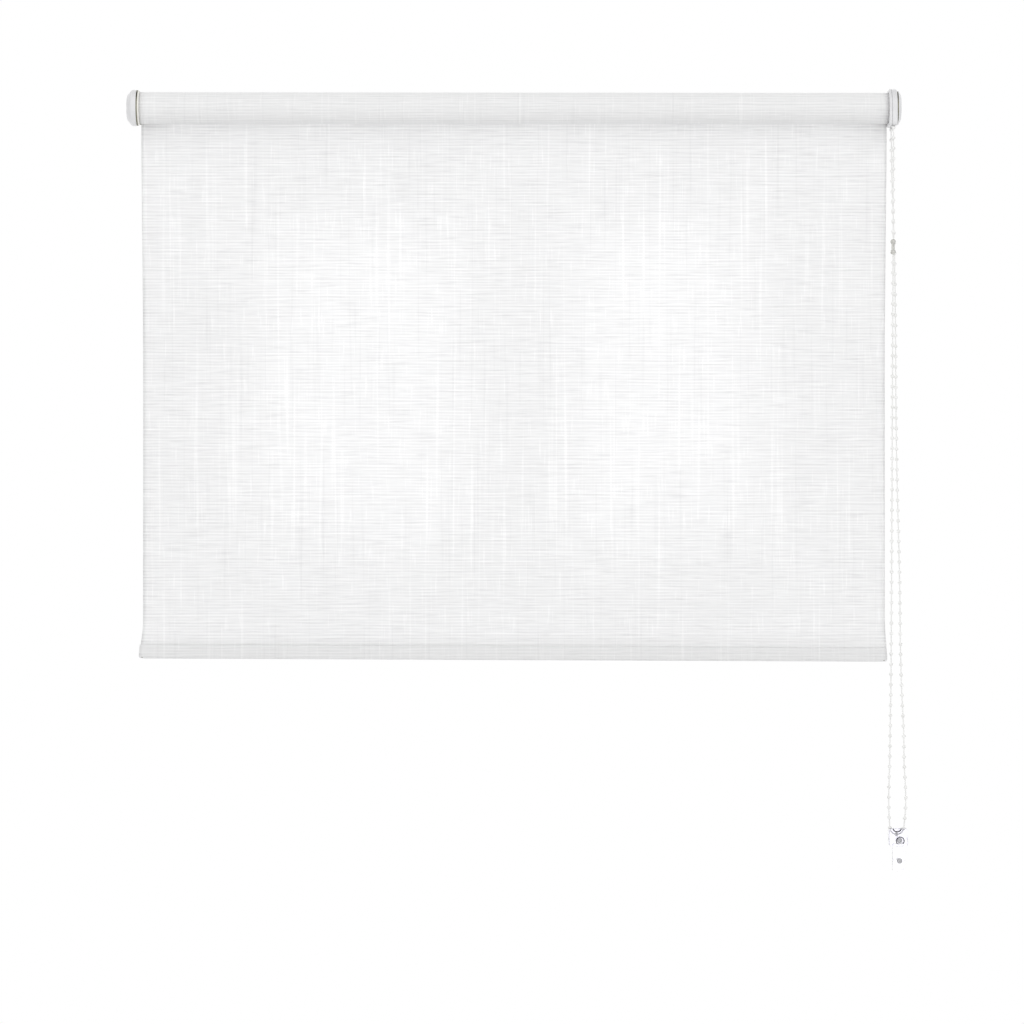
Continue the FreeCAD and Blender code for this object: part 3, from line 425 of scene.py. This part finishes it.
def cloth_depth(x, z):
    """The hanging cloth's ripples, all towards the wall so that they stay clear of the roll when
    the hem goes up, and none at the roll and the hem."""
    down = (AXIS_Z - z) / (AXIS_Z - hem_high.z)
    calm = math.sin(math.pi * min(1.0, max(0.0, down)))
    ripple = RIPPLE_MIDDLE + RIPPLE_WIDE * soft_noise(x * 3.1, z * 0.7, 4.0)
    ripple += RIPPLE_NARROW * soft_noise(x * 17.0, z * 1.5, 9.0)
    edge = max(0.0, abs(x) / RIGHT - CURL_FROM) / (1 - CURL_FROM)
    curl = EDGE_CURL * edge * edge * (0.6 + 0.4 * soft_noise(0.0, z * 6.0, 2.0))
    return calm * (ripple + curl)


def sheet_bottom(x):
    """The cloth goes on a little way into the weld at the hem's top, which hangs askew."""
    return HEM_MID.z + HEM_BAND / 2 - WELD_LAP - (x - HEM_MID.x) * math.tan(HEM_TILT)


def add_thickness(piece, thickness, offset=0.0):
    wall = piece.modifiers.new("thickness", "SOLIDIFY")
    wall.thickness = thickness
    wall.offset = offset


def hanging_cloth():
    """A grid of cloth: its first rows lap the back of the roll and the rest hangs to the hem."""
    columns, rows, lap = 150, 136, 6
    made = bmesh.new()
    bmesh.ops.create_grid(made, x_segments=columns, y_segments=rows, size=0.5)
    for vertex in made.verts:
        across = vertex.co.x + 0.5
        row = (0.5 - vertex.co.y) * rows
        x = LEFT + (RIGHT - LEFT) * across
        if row < lap:
            angle = (lap - row) / lap * TOP_LAP / ROLL_R
            out = SHEET_Y - AXIS_Y
            vertex.co = Vector((x, AXIS_Y + out * math.cos(angle), AXIS_Z + out * math.sin(angle)))
        else:
            z = AXIS_Z + (sheet_bottom(x) - AXIS_Z) * (row - lap) / (rows - lap)
            left, right = side_edge(-1, z), side_edge(1, z)
            x = left + (right - left) * across
            vertex.co = Vector((x, SHEET_Y + cloth_depth(x, z), z))
    bmesh.ops.recalc_face_normals(made, faces=made.faces)
    cloth = add_piece("hanging_cloth", made, HANGING_CLOTH)
    write_cloth_uv(cloth.data, lambda co: (co.x, -co.z))
    add_thickness(cloth, CLOTH_T)
    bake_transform(cloth)
    even_stretch(cloth)
    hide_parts("fabric_sheet")


def even_stretch(cloth):
    """Works out each vertex's share of the way from the roll down to the hem, between 0 and 1; the
    shares are not kept or used.
    """
    shares = [(AXIS_Z - v.co.z) / (AXIS_Z - sheet_bottom(v.co.x)) for v in cloth.data.vertices]
    shares = [min(1.0, max(0.0, share)) for share in shares]


SLACK = 0.42 * MM          # the wound cloth is this much thinner, and lower, at the right end
FULLER = 0.22 * MM         # and this much fuller at the left end,
FULLER_FOR = 0.1           # over this length
DENT = 0.10 * MM           # dents go in by up to one and a half times this, and never out


def wound_cloth():
    """The outer turn of the wound cloth, slacker at the right end and fuller at the left."""
    around, columns = 120, 90
    made = bmesh.new()
    width, top = RIGHT - LEFT, AXIS_Z + ROLL_R - CLOTH_T / 2
    start = [made.verts.new((LEFT + width * i / columns, AXIS_Y, top)) for i in range(columns + 1)]
    line = [made.edges.new(pair) for pair in zip(start, start[1:])]
    bmesh.ops.spin(made, geom=start + line, cent=(0, AXIS_Y, AXIS_Z), axis=(1, 0, 0), angle=math.tau,
                   steps=around, use_merge=True)
    bmesh.ops.remove_doubles(made, verts=made.verts, dist=1e-6)
    for vertex in made.verts:
        out = Vector((0, vertex.co.y - AXIS_Y, vertex.co.z - AXIS_Z)).normalized()
        dent = DENT * soft_noise(vertex.co.x * 9.0, out.y * 0.8, 1.0 + out.z * 0.8)
        slack = SLACK * (vertex.co.x - LEFT) / width
        taper = FULLER * ease(1 - (vertex.co.x - LEFT) / FULLER_FOR) - slack
        vertex.co += out * (min(0.0, dent - DENT / 2) + taper)
        vertex.co.z -= slack
    bmesh.ops.recalc_face_normals(made, faces=made.faces)
    roll = add_piece("wound_cloth", made, WOUND_CLOTH, "roller")
    turn = math.tau * ROLL_R

    def place(co):
        angle = math.atan2(co.z - AXIS_Z, co.y - AXIS_Y)
        return co.x, -(angle % math.tau) / math.tau * turn

    write_cloth_uv(roll.data, place)
    close_uv_seam(roll.data, turn)
    add_thickness(roll, CLOTH_T)
    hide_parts("fabric_roll")


def close_uv_seam(data, turn):
    """Faces that cross the seam of a turn get their wrapped corners back beside the others."""
    layer = data.uv_layers.active
    for face in data.polygons:
        rows = [layer.data[i].uv.y for i in face.loop_indices]
        if max(rows) - min(rows) > turn / 2:
            for i in face.loop_indices:
                if layer.data[i].uv.y > min(rows) + turn / 2:
                    layer.data[i].uv.y -= turn


INNER_THICKNESS = 0.82 * CLOTH_T    # a little less than the cloth's, so that turns stay apart
INNER_UV_ROWS = 8.0                 # metres of cloth in the UV map for each metre of radius


def inner_turns():
    """The turns under the outer one, an even spiral down to the tube."""
    steps_round = 48
    tube_low, tube_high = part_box("roller_tube")
    tube_r = (tube_high.z - tube_low.z) / 2
    # clear of the slack end of the outer turn, and of the tube
    first, last = ROLL_R - CLOTH_T - 3 * SLACK, tube_r + 0.9 * CLOTH_T
    turns = int((first - last) / CLOTH_T)
    steps = turns * steps_round
    shrink = (first - last) / steps
    made = bmesh.new()
    ends = [made.verts.new((x, AXIS_Y + first, AXIS_Z)) for x in (LEFT, RIGHT)]
    edge = [made.edges.new(ends)]
    radius = first
    angle = 0.0
    for step in range(steps):
        grown = bmesh.ops.extrude_edge_only(made, edges=edge)["geom"]
        edge = [g for g in grown if isinstance(g, bmesh.types.BMEdge)]
        radius -= shrink
        angle += math.tau / steps_round
        for vertex in {v for e in edge for v in e.verts}:
            vertex.co.y = AXIS_Y + radius * math.cos(angle)
            vertex.co.z = AXIS_Z + radius * math.sin(angle)
    bmesh.ops.recalc_face_normals(made, faces=made.faces)
    spiral = add_piece("inner_turns", made, WOUND_CLOTH, "roller")
    write_cloth_uv(spiral.data, lambda co: (
        co.x, math.hypot(co.y - AXIS_Y, co.z - AXIS_Z) * INNER_UV_ROWS))
    add_thickness(spiral, INNER_THICKNESS)


HALF_DRAWN = 2.02          # half the hem's thickness that the section is drawn for, in mm
PUCKER = 0.12 * MM         # how far the cloth stands off the bar in places
CORNER = 3.5 * MM          # the hem's corners are rounded over this length:
CORNER_LIFT = 1.6 * MM     # the bottom rises by this much
CORNER_DRAW = 1.2 * MM     # and the top draws in by up to this much,
DRAW_FROM = 0.35           # from this share of the hem's height
BACK_UV_SHIFT = 0.02       # the hem's back shows another stretch of the weave


def hem_section():
    """The hem's section in mm, from its weld at the top down the front, round the bottom and up
    the back: (distance out from the cloth's plane, height over the hem's underside)."""
    scale = (hem_high.y - hem_low.y) / 2 / MM / HALF_DRAWN
    front = [(0.18, 16.0), (0.42, 15.4), (0.85, 14.6), (1.45, 13.6), (1.84, 12.2), (1.97, 10.5),
             (2.0, 8.0), (1.98, 5.5), (1.93, 3.8), (1.72, 2.1), (1.25, 0.85), (0.62, 0.15)]
    front = [(out * scale, up) for out, up in front]
    return front + [(0.0, 0.0)] + [(-out, up) for out, up in reversed(front)]


def smooth_path(points, steps):
    """Points along a smooth line through the given ones."""
    found = []
    for i in range(len(points) - 1):
        a, b = Vector(points[max(0, i - 1)]), Vector(points[i])
        c, d = Vector(points[i + 1]), Vector(points[min(len(points) - 1, i + 2)])
        for step in range(steps):
            s = step / steps
            found.append(0.5 * (2 * b + (c - a) * s + (2 * a - 5 * b + 4 * c - d) * s * s
                                + (3 * b - a - 3 * c + d) * s ** 3))
    return found + [Vector(points[-1])]


def hem_band():
    """The cloth folded round the bar and welded to itself along the top."""
    section = smooth_path(hem_section(), 2)
    columns, rows = 160, len(section) - 1
    made = bmesh.new()
    bmesh.ops.create_grid(made, x_segments=columns, y_segments=rows, size=0.5)
    length = hem_high.x - hem_low.x
    for vertex in made.verts:
        out, up = section[round((0.5 - vertex.co.y) * rows)] * MM
        x = vertex.co.x * length
        share = up / HEM_BAND
        pucker = PUCKER * soft_noise(x * 14.0, up * 60.0, 7.0) * (1 - abs(2 * share - 1))
        end = max(0.0, abs(x) - (length / 2 - CORNER)) / CORNER
        up += end ** 2 * CORNER_LIFT * (1 - share)
        x -= math.copysign(end * CORNER_DRAW * max(0.0, share - DRAW_FROM), x)
        y = SHEET_Y - out - math.copysign(pucker, out)
        vertex.co = Vector((HEM_MID.x + x, y, HEM_MID.z + up - HEM_BAND / 2))
    bmesh.ops.rotate(made, verts=made.verts, cent=HEM_MID, matrix=Matrix.Rotation(HEM_TILT, 3, "Y"))
    bmesh.ops.recalc_face_normals(made, faces=made.faces)
    band = add_piece("hem_band", made, HEM_CLOTH, "hem")
    write_cloth_uv(band.data, lambda co: (
        co.x, -co.z + (BACK_UV_SHIFT if co.y > SHEET_Y else 0.0)))
    add_thickness(band, CLOTH_T * 0.8, offset=-1.0)
    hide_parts("hem_pocket")


# ---- bead chain --------------------------------------------------------------------------
# The cord's route: x from the chain's plane, then y and z, in metres.
CORD_ROUTE = [
    (0.0, -0.05528, -0.0215), (0.0, -0.0546, -0.040), (0.0006, -0.0179, -0.662),
    (-0.0002, -0.0156, -0.708), (-0.0005, -0.0130, -0.757), (-0.0016, -0.0110, -0.792),
    (-0.0015, -0.0092, -0.814), (-0.0006, -0.0080, -0.831), (-0.0002, -0.0075, -0.8414),
    (0.0046, -0.0075, -0.8462), (0.0114, -0.0075, -0.8462), (0.0162, -0.0075, -0.8414),
    (0.0171, -0.0078, -0.831), (0.0187, -0.0083, -0.813), (0.0182, -0.0086, -0.789),
    (0.0162, -0.0093, -0.762), (0.0164, -0.0098, -0.732), (0.0139, -0.0106, -0.688),
    (0.0119, -0.0118, -0.632), (0.0113, -0.0131, -0.572), (0.0101, -0.0140, -0.514),
    (0.0082, -0.0154, -0.455), (0.0069, -0.0166, -0.396), (0.0060, -0.0179, -0.337),
    (0.0057, -0.0190, -0.278), (0.0051, -0.0203, -0.219), (0.0040, -0.0217, -0.160),
    (0.0016, -0.0231, -0.101), (0.0002, -0.0244, -0.052), (0.0, -0.02472, -0.0215),
]
CORD_DIAMETER = 1.4 * MM
BEAD_PITCH = 12.0 * MM
BEAD_DIAMETER = 4.5 * MM
BEAD_SEED = 7


def cord_curve(name, bevel):
    data = bpy.data.curves.new(name, "CURVE")
    data.dimensions = "3D"
    data.bevel_depth = bevel
    data.bevel_resolution = 3
    data.resolution_u = 12
    line = data.splines.new("NURBS")
    line.points.add(len(CORD_ROUTE) - 1)
    for point, (x, y, z) in zip(line.points, CORD_ROUTE):
        point.co = (CHAIN_X + x, y, z, 1.0)
    line.order_u = 3
    line.use_endpoint_u = True
    piece = bpy.data.objects.new(name, data)
    scene.collection.objects.link(piece)
    return piece


def points_on_cord():
    """The cord's own line, as a list of points close together."""
    plain = cord_curve("line_only", 0.0)
    line = bpy.data.meshes.new_from_object(plain)
    points = [v.co.copy() for v in line.vertices]
    bpy.data.objects.remove(plain)
    return points


def bead_places(points):
    """Beads along the cord at their pitch, the first a little below the guard's mouth."""
    lengths = [(b - a).length for a, b in zip(points, points[1:])]
    first = 2 * BEAD_PITCH + CORD_ROUTE[0][2]
    free = sum(lengths) - 2 * first
    count = round(free / BEAD_PITCH)
    places, travelled, wanted = [], 0.0, first
    for a, b, length in zip(points, points[1:], lengths):
        while wanted <= travelled + length and len(places) <= count:
            places.append((a.lerp(b, (wanted - travelled) / length), (b - a).normalized()))
            wanted += free / count
        travelled += length
    return places


def bead_chain():
    cord = cord_curve("chain_line", CORD_DIAMETER / 2)
    cord.data.materials.append(CORD)
    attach(cord, "frame")
    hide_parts("chain_cord")

    random.seed(BEAD_SEED)
    made = bmesh.new()
    for place, way in bead_places(points_on_cord()):
        turn = way.to_track_quat("Z", "Y").to_matrix().to_4x4()
        spin = Matrix.Rotation(random.uniform(0, math.tau), 4, "Z")
        stretch = Matrix.Diagonal((1.0, 1.0, random.uniform(0.97, 1.03), 1.0))
        bmesh.ops.create_uvsphere(made, u_segments=14, v_segments=9, radius=BEAD_DIAMETER / 2,
                                  matrix=Matrix.Translation(place) @ turn @ spin @ stretch)
    beads = add_piece("bead_string", made, BEAD_PLASTIC, "frame")
    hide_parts("chain_beads")


# ---- room: floor and light ---------------------------------------------------------------
def add_panel(name, place, aim, power, width, height):
    """A soft rectangular light."""
    data = bpy.data.lights.new(name, "AREA")
    data.energy = power
    data.shape = "RECTANGLE"
    data.size = width
    data.size_y = height
    panel = bpy.data.objects.new(name, data)
    panel.location = place
    panel.rotation_euler = (aim - place).to_track_quat("-Z", "Y").to_euler()
    panel.visible_camera = False
    scene.collection.objects.link(panel)


FLOOR_SIZE = 4.0
FLOOR_MIDDLE = (0, -3.2, -1.3)


def add_floor():
    made = bmesh.new()
    bmesh.ops.create_grid(made, x_segments=1, y_segments=1, size=FLOOR_SIZE,
                          matrix=Matrix.Translation(FLOOR_MIDDLE))
    floor_paint = moulded_plastic("pale floor", (0.86, 0.86, 0.86, 1), (0.84, 0.84, 0.84, 1), 0.7)
    floor = add_piece("floor", made, floor_paint)


# the world's light by where it comes from: 0 is the room, 0.5 the sides and 1 the wall's side
LIGHT_BY_DEPTH = [(0.0, 0.80), (0.25, 0.66), (0.45, 0.42), (0.58, 0.40), (0.75, 0.75), (1.0, 1.0)]
SHINE_BY_DEPTH = [(0.0, 0.80), (0.22, 0.60), (0.42, 0.05), (0.70, 0.04), (0.88, 0.70), (1.0, 0.75)]
LIGHT_SCALE = 1.67


def add_world():
    """White to the camera. For everything else: bright before and behind, dimmer at the sides, and
    dark at the sides for shine and clear plastic, which then get dark outlines."""
    world = bpy.data.worlds.new("studio")
    scene.world = world
    world.use_nodes = True
    nodes, links = world.node_tree.nodes, world.node_tree.links
    nodes.clear()
    way = nodes.new("ShaderNodeTexCoord").outputs["Generated"]
    parts = nodes.new("ShaderNodeSeparateXYZ")
    links.new(way, parts.inputs["Vector"])
    depth = math_node(nodes, links, "MULTIPLY", parts.outputs["Y"], 0.5)
    depth = math_node(nodes, links, "ADD", depth, 0.5)
    path = nodes.new("ShaderNodeLightPath").outputs
    chosen = nodes.new("ShaderNodeMix")
    links.new(path["Is Diffuse Ray"], chosen.inputs["Factor"])
    links.new(ramp(nodes, links, depth, SHINE_BY_DEPTH), chosen.inputs["A"])
    links.new(ramp(nodes, links, depth, LIGHT_BY_DEPTH), chosen.inputs["B"])
    strength = math_node(nodes, links, "MULTIPLY", chosen.outputs["Result"], LIGHT_SCALE)
    lit = nodes.new("ShaderNodeBackground")
    lit.inputs["Color"].default_value = (1.0, 1.0, 1.0, 1.0)
    links.new(strength, lit.inputs["Strength"])
    seen = nodes.new("ShaderNodeBackground")
    seen.inputs["Color"].default_value = (1.0, 1.0, 1.0, 1.0)
    mixed = nodes.new("ShaderNodeMixShader")
    links.new(path["Is Camera Ray"], mixed.inputs["Fac"])
    links.new(lit.outputs["Background"], mixed.inputs[1])
    links.new(seen.outputs["Background"], mixed.inputs[2])
    add_output(nodes, links, mixed.outputs["Shader"], "World")


DAYLIGHT_PANELS = [("daylight left", -0.300, -0.063), ("daylight right", 0.072, 0.285)]
PANEL_Y, PANEL_Z, PANEL_HEIGHT = 0.035, -0.319, 0.376     # a little beyond the wall's plane
PANEL_POWER = 0.075                                       # watts, each


def add_lights():
    """Two soft panels of daylight close behind the cloth."""
    for name, left, right in DAYLIGHT_PANELS:
        middle = Vector(((left + right) / 2, PANEL_Y, PANEL_Z))
        add_panel(name, middle, middle - Vector((0, 1, 0)), PANEL_POWER, right - left, PANEL_HEIGHT)


# ---- build -------------------------------------------------------------------------------
add_camera()
add_world()
add_lights()
add_floor()
finish_cad_nodes()
inner_turns()
wound_cloth()
hem_band()
hanging_cloth()
bead_chain()
